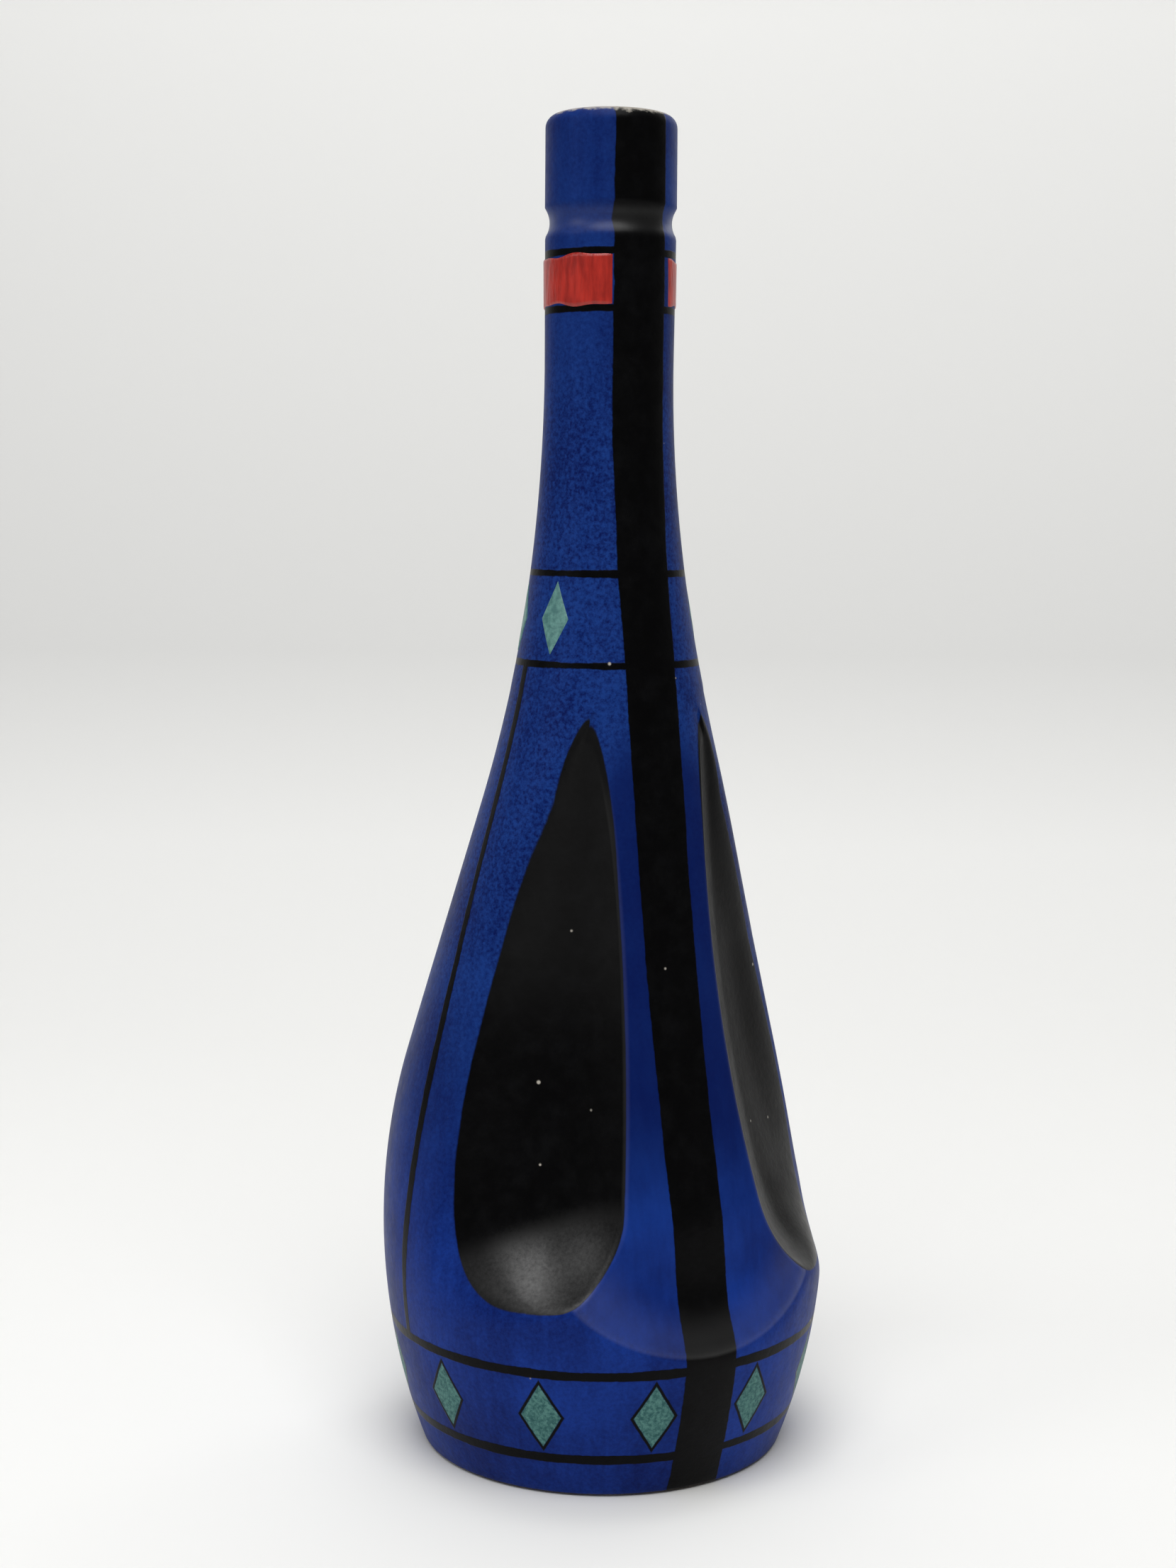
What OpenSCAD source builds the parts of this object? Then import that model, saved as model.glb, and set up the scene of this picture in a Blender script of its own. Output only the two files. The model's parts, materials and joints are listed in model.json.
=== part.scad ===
// Tall ceramic jug with a pinched grip: a round belly and foot, a long neck with a
// grooved mouth collar, and two finger hollows that leave an upright rib to hold it by.
// The clay is made in four luted sections and wears thin coats of coloured glaze.
// The jug stands on the origin, +Z is up, and the grip rib faces -Y.

/* [Overall] */
// Height from the table to the rim
jug_h = 310; // [295:1:330]

/* [Belly] */
// Largest radius of the belly
belly_r = 52.6; // [50:0.2:55]
// Height of the widest place
belly_z = 53; // [50:0.5:56]
// Radius of the belly's upright curve
belly_round = 145; // [130:1:160]
// Lean of the straight shoulder, in degrees off upright
shoulder_lean = 16.5; // [16.2:0.1:17.2]
// Bevel round the unglazed foot
foot_bevel = 1.6; // [0.8:0.1:2.5]

/* [Neck and mouth] */
// Radius of the neck where it is narrowest
neck_r = 14.8; // [13.5:0.1:16]
// Height of the narrowest place
neck_z = 253; // [248:1:258]
// How far the neck swells below the groove
neck_swell = 0.25; // [0:0.05:0.8]
// Depth of the groove under the collar
groove_depth = 1; // [0.6:0.1:1.6]
// Height of the groove
groove_h = 6.5; // [5:0.5:8]
// Height of the mouth collar
collar_h = 21; // [16:0.5:26]
// How far the collar stands out past the neck below the groove
collar_step = 0.1; // [0:0.05:0.8]
// Rounding of the rim
rim_round = 3; // [1.5:0.1:3.6]

/* [Grip rib] */
// Height where the sunken rib face runs out at the top
rib_top_z = 174; // [168:1:178]
// Height where it turns out into the shelf at the bottom
shelf_z = 52; // [50:0.5:55]
// How deep it is sunk there
rib_sink = 5.6; // [4:0.1:7]
// Radius of its upright curve
rib_round = 680; // [550:10:900]
// Lean of the axis that the rib's crown turns about
crown_lean = 24; // [20:0.5:27]
// Hollow radius of the shelf under the rib
shelf_round = 28; // [24:0.5:34]

/* [Finger hollows] */
// Radius of each hollow's round end
ball_r = 34; // [32:0.2:36]
// Distance of the round end's centre from the jug's axis
ball_out = 72; // [70:0.2:74]
// Its direction, in degrees round from the rib
ball_turn = 44.1; // [42.5:0.1:46]
// Its height
ball_z = 72.8; // [71:0.2:75]
// Radius where each hollow swells between the round end and the tip
swell_r = 27.4; // [26:0.1:28.5]
// How far along that is, as a share of the way to the tip
swell_share = 0.35; // [0.32:0.01:0.4]
// Radius of the tip, where each hollow has run out of the jug's side
tip_r = 3; // [2:0.1:4]
// Distance of the tip from the jug's axis
tip_out = 25.7; // [25:0.1:26.4]
// Its direction, in degrees round from the rib
tip_turn = 33; // [31.5:0.1:35]
// Its height
tip_z = 192; // [188:0.5:196]
// Radius of the soft cheek beside each hollow
cheek_r = 25.3; // [24:0.1:26.6]
// Distance of the cheek's axis from the jug's axis, at cheek_z
cheek_out = 19; // [18:0.1:20]
// Height where that distance is measured
cheek_z = 107; // [104:0.5:110]
// Lean of the cheek's axis, in degrees off upright
cheek_lean = 15.4; // [14.5:0.1:16.5]
// Height where the cheek runs out above the foot
cheek_end_z = 43; // [40:0.5:45]

/* [Clay and glaze] */
// Thickness of the clay wall
wall = 4.4; // [3.5:0.1:5.2]
// Thickness of the floor
floor_t = 7; // [5:0.5:10]
// Thickness of every glaze coat
glaze = 0.5; // [0.3:0.05:0.8]
// Height of the luted joint between foot and belly
foot_joint_z = 24; // [18:0.5:28]
// Height of the luted joint between belly and neck
neck_joint_z = 206; // [200:1:230]
// Length of the lap at each luted joint
lap_h = 4; // [3:0.5:6]

/* [Painting] */
// Half width of the black stripe down the front
stripe_w = 6.5; // [4:0.5:9]
// How far the black of each hollow runs on over its cheek
cheek_lap = 4.5; // [2:0.5:6]
// Height of the red neck band
band_h = 11; // [6:0.5:14]
// Gap between the groove and the red band
band_drop = 5; // [3:0.5:8]
// Height of the thin black rings
ring_h = 1.6; // [1:0.1:2.5]
// Height of the ring of turquoise lozenges
lozenge_z = 196; // [194:0.5:198]
// Height of one lozenge
lozenge_h = 17; // [12:0.5:20]
// Width of one lozenge
lozenge_w = 8; // [5:0.5:9]
// Gap between the lozenges' points and the rings above and below them
lozenge_gap = 1; // [0.5:0.1:2]
// Number of places for lozenges all round
lozenge_places = 8; // [6:1:9]

/* [Hidden] */
$fn = 160;
// Straight steps in the curves of belly, neck, groove and rim
belly_steps = 20;
neck_steps = 16;
groove_steps = 8;
rim_steps = 6;

// Shoulder: a straight cone that is tangent to the belly's curve and to the neck's
shoulder_low_r = belly_r - belly_round * (1 - cos(shoulder_lean));
shoulder_low_z = belly_z + belly_round * sin(shoulder_lean);
shoulder_fall = tan(shoulder_lean) * (neck_z - shoulder_low_z);
neck_round = (neck_r - shoulder_low_r + shoulder_fall) / (1 / cos(shoulder_lean) - 1);
shoulder_top_r = neck_r + neck_round * (1 - cos(shoulder_lean));
shoulder_top_z = neck_z - neck_round * sin(shoulder_lean);

// Neck, groove and collar
lip_r = neck_r + neck_swell;
collar_r = lip_r + collar_step;
collar_z = jug_h - collar_h;
groove_z = collar_z - groove_h / 2;
groove_round = (pow(groove_h / 2, 2) + pow(groove_depth, 2)) / (2 * groove_depth);

// Depths of the clay's inside and of the room inside, from the outside
clay_in = glaze + wall;
shell_in = clay_in + glaze;
// The coats stop one coat's thickness above the bevelled foot
glaze_line_z = foot_bevel + glaze;
foot_r = belly_points(glaze, 0)[0][0];

// Rib face: an arc through its two measured points
function neck_arc_r(z) = neck_r + neck_round - sqrt(pow(neck_round, 2) - pow(neck_z - z, 2));
function belly_arc_r(z) = belly_r - belly_round + sqrt(pow(belly_round, 2) - pow(z - belly_z, 2));
rib_top_r = neck_arc_r(rib_top_z);
rib_low_r = belly_arc_r(shelf_z) - rib_sink;
rib_chord = [rib_low_r - rib_top_r, shelf_z - rib_top_z];
rib_rise = sqrt(pow(rib_round, 2) - pow(norm(rib_chord) / 2, 2));
rib_mid = [rib_top_r, rib_top_z] + rib_chord / 2;
rib_centre = rib_mid + rib_rise * [-rib_chord[1], rib_chord[0]] / norm(rib_chord);
// Turn of the rib cut about its crown axis, and its height past the top of the face
rib_sweep = 84;
rib_over = 12;
// Reach of every cut, well past the belly, and its overlap past a face
cut_reach = 2 * belly_r;
over = 5;

// Finger hollows
ball = ball_out * [sin(ball_turn), -cos(ball_turn), 0] + [0, 0, ball_z];
tip = tip_out * [sin(tip_turn), -cos(tip_turn), 0] + [0, 0, tip_z];
tear = tip - ball;
// Directions round from the rib: of the cheek's axis, and of the hollow's edge where the cheek starts
cheek_turn = 105;
cheek_start = 17.5;
// Direction and slope of the flat that ends the cheek above the foot
cheek_end_turn = 60;
cheek_end_slope = 68;

// Painting
// The black of each hollow laps past its edge by half as much again as a coat
paint_lap = 1.5 * glaze;
band_top_z = collar_z - groove_h - band_drop;
band_low_z = band_top_z - band_h;
red_band = [band_low_z, band_top_z];
ring_bands = [for (z = [
    band_top_z,
    band_low_z - ring_h,
    lozenge_z + lozenge_h / 2 + lozenge_gap,
    lozenge_z - lozenge_h / 2 - lozenge_gap - ring_h
]) [z, z + ring_h]];

blue = [0.04, 0.16, 0.46];
black = [0.03, 0.03, 0.035];
red = [0.66, 0.12, 0.09];
turquoise = [0.28, 0.47, 0.44];
clay = [0.80, 0.70, 0.60];
cream = [0.86, 0.83, 0.76];

// Points up the belly's curve, from height z to the shoulder, sunk by t
function belly_points(t, z) = let (
    centre = [belly_r - belly_round, belly_z],
    reach = belly_round - t,
    start = asin((z - belly_z) / reach)
) [for (i = [0:belly_steps])
    let (a = start + (shoulder_lean - start) * i / belly_steps)
    centre + reach * [cos(a), sin(a)]];

// Points up the neck's curve, from the shoulder to the narrowest place, sunk by t
function neck_points(t) = [for (i = [0:neck_steps])
    let (a = shoulder_lean * (1 - i / neck_steps))
    [neck_r + neck_round, neck_z] - (neck_round + t) * [cos(a), sin(a)]];

// Points up the groove under the collar, sunk by t
function groove_points(t) = let (
    reach = groove_round + t,
    centre = [lip_r - groove_depth + groove_round, groove_z],
    low = acos((groove_round - groove_depth + t) / reach),
    high = acos((groove_round - groove_depth - collar_step + t) / reach)
) [for (i = [0:groove_steps])
    let (a = -low + (low + high) * i / groove_steps)
    centre + reach * [-cos(a), sin(a)]];

// Points over the rounded rim, sunk by t
function rim_points(t) = [for (i = [0:rim_steps])
    let (a = 90 * i / rim_steps)
    [collar_r - rim_round, jug_h - rim_round] + (rim_round - t) * [cos(a), sin(a)]];

// Half outline of the round jug, sunk by t all over
module jug_outline(t) {
    polygon(concat(
        [[0, 0]],
        belly_points(t, 0),
        neck_points(t),
        groove_points(t),
        rim_points(t),
        [[0, jug_h - t]]
    ));
}

// A block that fills the side of +Y as far as any cut reaches
module half_space() {
    translate([-2 * cut_reach, 0, -2 * cut_reach]) cube(4 * cut_reach);
}

// Half section of a ball on the upright axis
module half_ball(r, z) {
    translate([0, z]) intersection() {
        circle(r);
        translate([0, -r]) square(2 * r);
    }
}

// Half section of the cone that touches two such balls
module half_cone(low_r, low_z, high_r, high_z) {
    slant = asin((low_r - high_r) / (high_z - low_z));
    polygon([
        [0, low_z + low_r * sin(slant)],
        [low_r * cos(slant), low_z + low_r * sin(slant)],
        [high_r * cos(slant), high_z + high_r * sin(slant)],
        [0, high_z + high_r * sin(slant)]
    ]);
}

// Tear-shaped finger hollow, grown by end_t at its round end and by tip_t at its tip
module finger_hollow(end_t, tip_t) {
    lean = acos(tear[2] / norm(tear));
    turn = atan2(tear[1], tear[0]);
    swell_at = swell_share * norm(tear);
    swell_t = end_t + swell_share * (tip_t - end_t);
    translate(ball) rotate([0, lean, turn]) rotate_extrude() {
        half_ball(ball_r + end_t, 0);
        half_cone(ball_r + end_t, 0, swell_r + swell_t, swell_at);
        half_ball(swell_r + swell_t, swell_at);
        half_cone(swell_r + swell_t, swell_at, tip_r + tip_t, norm(tear));
        half_ball(tip_r + tip_t, norm(tear));
    }
}

// Soft cheek between a hollow and the round side, grown by t
module cheek_cut(t) {
    sweep = cheek_turn - cheek_start;
    at = cheek_out * [sin(cheek_turn), -cos(cheek_turn), 0] + [0, 0, cheek_z];
    end_r = belly_arc_r(cheek_end_z);
    cheek_end = [end_r * sin(cheek_end_turn), -end_r * cos(cheek_end_turn), cheek_end_z];
    intersection() {
        translate(at) rotate([0, -cheek_lean, cheek_turn - 90]) intersection() {
            rotate_extrude() translate([cheek_r - t, -cut_reach]) square([cut_reach, 2 * cut_reach]);
            translate([0, t, 0]) mirror([0, 1, 0]) half_space();
            rotate([0, 0, -sweep]) translate([0, -t, 0]) half_space();
        }
        translate(cheek_end) rotate([0, cheek_end_slope, cheek_end_turn - 90])
            translate([0, 0, -t]) rotate([90, 0, 0]) half_space();
        translate([0, 0, rib_top_z + over + t]) rotate([-90, 0, 0]) half_space();
    }
}

// Upright section of what is cut away in front of the rib, grown by t
module rib_section(t) {
    intersection() {
        translate(rib_centre) circle(rib_round + t);
        translate([0, shelf_z - over]) square([cut_reach, rib_top_z + rib_over - shelf_z + over]);
    }
    intersection() {
        translate([rib_low_r + shelf_round, shelf_z]) circle(shelf_round + t);
        translate([0, shelf_z - shelf_round]) square([cut_reach, shelf_round + over]);
    }
}

module rib_cut(t) {
    translate([0, 0, rib_top_z]) rotate([crown_lean, 0, 0]) rotate([0, 0, -90 - rib_sweep / 2])
        rotate_extrude(angle = rib_sweep)
            rotate(crown_lean) translate([0, -rib_top_z]) rib_section(t);
}

// All that is cut away for the grip, grown by t
module grip_cuts(t) {
    rib_cut(t);
    for (side = [0, 1]) mirror([side, 0, 0]) {
        finger_hollow(t, t);
        cheek_cut(t);
    }
}

// The jug's outside, sunk by t all over
module jug_form(t) {
    difference() {
        rotate_extrude() jug_outline(t);
        grip_cuts(t);
    }
}

// The room inside, t from the outside, from its floor to the top given
module inside_form(t, floor_z, top_z) {
    difference() {
        rotate_extrude() polygon(concat(
            [[0, floor_z]],
            belly_points(t, floor_z),
            neck_points(t),
            [[neck_r - t, top_z], [0, top_z]]
        ));
        grip_cuts(t);
    }
}

// Where the black of a hollow goes: to its edge at the rib, and on over the cheek
module grip_area() {
    finger_hollow(paint_lap, paint_lap);
    intersection() {
        finger_hollow(cheek_lap, paint_lap);
        cheek_cut(paint_lap);
    }
}

// Everything below height z
module below(z) {
    translate([0, 0, -over]) cylinder(r = cut_reach, h = z + over);
}

// Everything below a luted joint, with the inner half of the wall standing up as its lap
module below_joint(z) {
    below(z);
    intersection() {
        below(z + lap_h);
        rotate_extrude() jug_outline(glaze + wall / 2);
    }
}

// The clay wall and floor under the glaze
module clay_wall() {
    difference() {
        jug_form(glaze);
        inside_form(clay_in, floor_t, jug_h + over);
    }
}

// The clay of the round neck and mouth
module neck_clay() {
    rotate_extrude() difference() {
        jug_outline(glaze);
        translate([0, -over]) square([neck_r - clay_in, jug_h + 2 * over]);
        polygon(concat([[0, 0]], belly_points(clay_in, 0), neck_points(clay_in), [[0, neck_z]]));
    }
}

// The outer coat all over
module coat() {
    difference() {
        jug_form(0);
        jug_form(glaze);
        below(glaze_line_z);
        translate([0, 0, neck_z]) cylinder(r = neck_r - clay_in, h = jug_h);
    }
}

// The outer coat between two heights of the round neck
module neck_coat(low_z, high_z) {
    rotate_extrude() intersection() {
        difference() {
            jug_outline(0);
            jug_outline(glaze);
        }
        translate([0, low_z]) square([cut_reach, high_z - low_z]);
    }
}

// Even front stripe from mouth to foot
module stripe_area() {
    translate([-stripe_w, -over - cut_reach, -over]) cube([2 * stripe_w, cut_reach, jug_h + 2 * over]);
}

// Lozenges round the neck, all but the places beside the stripe
module lozenge_area() {
    for (i = [1:lozenge_places - 2])
        rotate([0, 0, (i + 0.5) * 360 / lozenge_places]) translate([0, 0, lozenge_z]) rotate([90, 0, 0])
            linear_extrude(cut_reach) polygon([
                [-lozenge_w / 2, 0], [0, -lozenge_h / 2], [lozenge_w / 2, 0], [0, lozenge_h / 2]
            ]);
}

// Level bands right round the jug, given as pairs of low and high heights
module level_areas(bands) {
    for (b = bands) translate([0, 0, b[0]]) cylinder(r = cut_reach, h = b[1] - b[0]);
}

module foot() {
    color(clay) difference() {
        intersection() {
            clay_wall();
            below_joint(foot_joint_z);
        }
        rotate_extrude() polygon([
            [foot_r - foot_bevel - over, -over],
            [foot_r + over, -over],
            [foot_r + over, foot_bevel + over]
        ]);
    }
}

module belly() {
    color(clay) difference() {
        intersection() {
            clay_wall();
            below_joint(neck_joint_z);
        }
        below_joint(foot_joint_z);
    }
}

module neck() {
    color(clay) difference() {
        intersection() {
            neck_clay();
            below_joint(collar_z);
        }
        below_joint(neck_joint_z);
    }
}

module mouth_collar() {
    color(clay) difference() {
        neck_clay();
        below_joint(collar_z);
    }
}

module interior_glaze() {
    color(cream) difference() {
        inside_form(clay_in, floor_t, jug_h);
        inside_form(shell_in, floor_t + glaze, jug_h + over);
    }
}

module blue_glaze() {
    color(blue) difference() {
        coat();
        stripe_area();
        for (side = [0, 1]) mirror([side, 0, 0]) grip_area();
        level_areas(concat(ring_bands, [red_band]));
        lozenge_area();
    }
}

module black_grip() {
    color(black) intersection() {
        coat();
        grip_area();
    }
}

module black_grip_left() {
    mirror([1, 0, 0]) black_grip();
}

module black_grip_right() {
    black_grip();
}

module black_stripe() {
    color(black) intersection() {
        coat();
        stripe_area();
    }
}

module black_rings() {
    color(black) for (b = ring_bands) difference() {
        neck_coat(b[0], b[1]);
        stripe_area();
    }
}

module red_neck_band() {
    color(red) difference() {
        neck_coat(red_band[0], red_band[1]);
        stripe_area();
    }
}

module turquoise_lozenges() {
    color(turquoise) intersection() {
        neck_coat(lozenge_z - lozenge_h / 2, lozenge_z + lozenge_h / 2);
        lozenge_area();
    }
}

foot();
belly();
neck();
mouth_collar();
interior_glaze();
blue_glaze();
black_grip_left();
black_grip_right();
black_stripe();
black_rings();
red_neck_band();
turquoise_lozenges();
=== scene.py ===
import json
import math
from types import SimpleNamespace

import bpy
import numpy as np
from mathutils import Matrix, Vector

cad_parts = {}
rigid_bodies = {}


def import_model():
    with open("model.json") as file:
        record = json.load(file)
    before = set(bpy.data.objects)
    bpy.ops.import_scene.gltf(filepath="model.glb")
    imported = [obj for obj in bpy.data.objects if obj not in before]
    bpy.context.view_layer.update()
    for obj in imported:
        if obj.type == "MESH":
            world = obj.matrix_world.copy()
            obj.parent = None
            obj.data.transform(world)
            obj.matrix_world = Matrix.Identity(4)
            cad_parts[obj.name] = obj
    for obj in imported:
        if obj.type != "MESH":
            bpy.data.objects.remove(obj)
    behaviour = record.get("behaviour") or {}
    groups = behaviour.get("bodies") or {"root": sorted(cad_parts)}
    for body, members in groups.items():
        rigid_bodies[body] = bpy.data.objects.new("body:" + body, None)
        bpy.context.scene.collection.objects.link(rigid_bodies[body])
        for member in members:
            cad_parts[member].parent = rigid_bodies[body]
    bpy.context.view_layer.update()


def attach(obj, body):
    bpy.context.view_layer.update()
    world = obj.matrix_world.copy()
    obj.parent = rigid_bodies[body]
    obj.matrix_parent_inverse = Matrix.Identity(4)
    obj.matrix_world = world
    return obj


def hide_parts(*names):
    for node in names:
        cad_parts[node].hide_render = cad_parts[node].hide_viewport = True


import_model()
mm = 0.001
print("frame loaded")

camera = {
    "azimuth": -29,  # degrees round from the grip rib
    "distance": 551,  # mm from the jug's axis
    "height": 219.4,  # mm above the table
    "pitch": 6.5,  # degrees down
    "roll": 0.44,  # degrees, the photograph leans a little
    "focal": 3324,  # this and the next two in photograph pixels
    "axisRight": 25.5,
    "frameHeight": 2212,
    "sensor": 36,  # mm along the frame's height
    "nearest": 10,  # mm
}


def addCamera():
    azimuth = math.radians(camera["azimuth"])
    bpy.ops.object.camera_add()
    view = bpy.context.object
    view.name = "photo_camera"
    turn = Matrix.Rotation(azimuth, 4, "Z")
    tilt = Matrix.Rotation(math.radians(90 - camera["pitch"]), 4, "X")
    roll = Matrix.Rotation(math.radians(camera["roll"]), 4, "Z")
    view.rotation_euler = (turn @ tilt @ roll).to_euler()
    view.location = (
        camera["distance"] * math.sin(azimuth) * mm,
        -camera["distance"] * math.cos(azimuth) * mm,
        camera["height"] * mm,
    )
    lens = view.data
    lens.sensor_fit = "VERTICAL"
    lens.sensor_height = camera["sensor"]
    lens.lens = camera["focal"] / camera["frameHeight"] * camera["sensor"]
    lens.shift_x = -camera["axisRight"] / camera["frameHeight"]
    lens.clip_start = camera["nearest"] * mm
    bpy.context.scene.camera = view
    bpy.context.scene.view_settings.view_transform = "Standard"


# one socket of a node tree, with Python's operators as Math nodes
class Signal:
    def __init__(self, tree, socket=None):
        self.tree = tree
        self.socket = socket

    def node(self, kind, settings=None, inputs=None, output=0):
        made = self.tree.nodes.new(kind)
        for key, value in (settings or {}).items():
            if key == "stops":
                ramp = made.color_ramp.elements
                for place, colour in value[2:]:
                    ramp.new(place)
                for element, (place, colour) in zip(ramp, value):
                    element.position = place
                    element.color = colour
            else:
                setattr(made, key, value)
        for key, value in (inputs or {}).items():
            if isinstance(value, Signal):
                self.tree.links.new(value.socket, made.inputs[key])
            else:
                made.inputs[key].default_value = value
        return Signal(self.tree, made.outputs[output])

    def maths(self, operation, *values):
        return self.node("ShaderNodeMath", {"operation": operation}, dict(enumerate(values)))

    def __add__(self, other):
        return self.maths("ADD", self, other)

    def __radd__(self, other):
        return self.maths("ADD", other, self)

    def __sub__(self, other):
        return self.maths("SUBTRACT", self, other)

    def __rsub__(self, other):
        return self.maths("SUBTRACT", other, self)

    def __mul__(self, other):
        return self.maths("MULTIPLY", self, other)

    def __rmul__(self, other):
        return self.maths("MULTIPLY", other, self)

    def __truediv__(self, other):
        return self.maths("DIVIDE", self, other)

    def __abs__(self):
        return self.maths("ABSOLUTE", self)

    def __or__(self, other):  # the larger of two masks
        return self.maths("MAXIMUM", self, other)


def newMaterial(name):
    material = bpy.data.materials.new(name)
    material.use_nodes = True
    shader = material.node_tree.nodes["Principled BSDF"]
    return material, shader, Signal(material.node_tree)


def plug(shader, **values):
    for key, value in values.items():
        socket = shader.inputs[key.replace("_", " ")]
        if isinstance(value, Signal):
            value.tree.links.new(value.socket, socket)
        else:
            socket.default_value = value


def millimetres(start):
    here = start.node("ShaderNodeTexCoord", output="Object")
    return start.node("ShaderNodeVectorMath", {"operation": "SCALE"}, {0: here, "Scale": 1 / mm})


# cloudy grain of a size in millimetres; stretch above 1 draws it out along that axis
def grain(point, size, detail=4, stretch=(1, 1, 1), roughness=0.55):
    scale = [1 / (size * s) for s in stretch]
    spread = point.node("ShaderNodeVectorMath", {"operation": "MULTIPLY"}, {0: point, 1: scale})
    return point.node(
        "ShaderNodeTexNoise", None,
        {"Vector": spread, "Scale": 1, "Detail": detail, "Roughness": roughness},
    )


# grain that goes to either side of 0
def wander(point, size, detail, reach, roughness=0.55):
    return (grain(point, size, detail, roughness=roughness) - 0.5) * reach


# 0 at low and 1 at high, with a soft step between; it falls where low is above high
def step(value, low, high):
    return value.node(
        "ShaderNodeMapRange", {"interpolation_type": "SMOOTHSTEP"},
        {"Value": value, "From Min": low, "From Max": high},
    )


def mix(factor, under, over):
    return factor.node(
        "ShaderNodeMix", {"data_type": "RGBA"}, {0: factor, 6: under, 7: over}, output=2,
    )


def bump(height, distance):
    return height.node("ShaderNodeBump", None, {"Height": height, "Distance": distance * mm})


studio = {  # metres
    # painted shade on the paper: its grey at heights above the floor, darkest low in the bend up into the
    # wall and palest at the top
    "paperShade": ((0, 0.87), (0.05, 0.87), (0.14, 0.74), (0.3, 0.83), (0.55, 0.96)),
    "paperWarmth": 0.985,  # its blue for each part of grey
    "paperRoughness": 0.9,
    "skyColour": (1, 0.99, 0.975, 1),
    "skyStrength": 0.2,
    "wallBack": 1.1,  # behind the jug
    "wallHeight": 2.6,
    "wallBend": 0.7, "bendSegments": 24,
    "halfWidth": 3.5,
    "front": 2.5,
    # name: watts, size, place
    "lamps": {
        "front_softbox": (16, 1.3, (-0.36, -0.62, 1.4)),
        "top_softbox": (6, 0.8, (0.1, 0.2, 1.5)),
        "left_window": (2.5, 0.7, (-1.3, 0.1, 0.9)),
        "right_window": (1.6, 0.6, (1.2, 0.5, 0.8)),
    },
    "lampAim": (0, 0, 0.13),
}


def addLamps():
    for name, (watts, size, place) in studio["lamps"].items():
        bpy.ops.object.light_add(type="AREA", location=place)
        lamp = bpy.context.object
        lamp.name = name
        lamp.data.energy = watts
        lamp.data.shape = "DISK"
        lamp.data.size = size
        aim = Vector(studio["lampAim"]) - lamp.location
        lamp.rotation_euler = aim.to_track_quat("-Z", "Y").to_euler()


def studioPaper():
    material, shader, start = newMaterial("studio paper")
    here = start.node("ShaderNodeTexCoord", output="Object")
    top = studio["paperShade"][-1][0]
    up = start.node("ShaderNodeSeparateXYZ", None, {0: here}, output="Z") / top
    stops = [(z / top, (grey, grey, grey * studio["paperWarmth"], 1)) for z, grey in studio["paperShade"]]
    # painted shade: the grey steps with height up the paper
    shade = start.node("ShaderNodeValToRGB", {"stops": stops}, {0: up})
    plug(shader, Base_Color=shade, Roughness=studio["paperRoughness"], Specular_IOR_Level=0)
    return material


# a plain floor whose back edge is drawn up into a wall, square to the camera
def addFloor():
    bpy.ops.object.select_all(action="DESELECT")
    bpy.ops.mesh.primitive_plane_add(size=2)
    floor = bpy.context.object
    floor.name = "studio_floor"
    front, back = studio["front"], studio["wallBack"]
    bpy.ops.object.mode_set(mode="EDIT")
    bpy.ops.mesh.select_all(action="SELECT")
    bpy.ops.transform.resize(value=(studio["halfWidth"], (front + back) / 2, 1))
    bpy.ops.transform.translate(value=(0, (back - front) / 2, 0))
    bpy.ops.object.mode_set(mode="OBJECT")
    for edge in floor.data.edges:
        edge.select = all(floor.data.vertices[v].co.y > 0 for v in edge.vertices)
    for vertex in floor.data.vertices:
        vertex.select = vertex.co.y > 0
    for face in floor.data.polygons:
        face.select = False
    bpy.ops.object.mode_set(mode="EDIT")
    bpy.ops.mesh.select_mode(type="EDGE")
    bpy.ops.mesh.extrude_region_move(TRANSFORM_OT_translate={"value": (0, 0, studio["wallHeight"])})
    bpy.ops.object.mode_set(mode="OBJECT")
    bend = floor.modifiers.new("bend", "BEVEL")
    bend.width = studio["wallBend"]
    bend.segments = studio["bendSegments"]
    bend.limit_method = "ANGLE"
    bpy.ops.object.modifier_apply(modifier="bend")
    floor.data.transform(Matrix.Rotation(math.radians(camera["azimuth"]), 4, "Z"))
    bpy.ops.object.shade_smooth()
    floor.data.materials.append(studioPaper())


def addSky():
    world = bpy.data.worlds.new("soft sky")
    world.use_nodes = True
    sky = world.node_tree.nodes["Background"]
    sky.inputs["Color"].default_value = studio["skyColour"]
    sky.inputs["Strength"].default_value = studio["skyStrength"]
    bpy.context.scene.world = world


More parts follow.
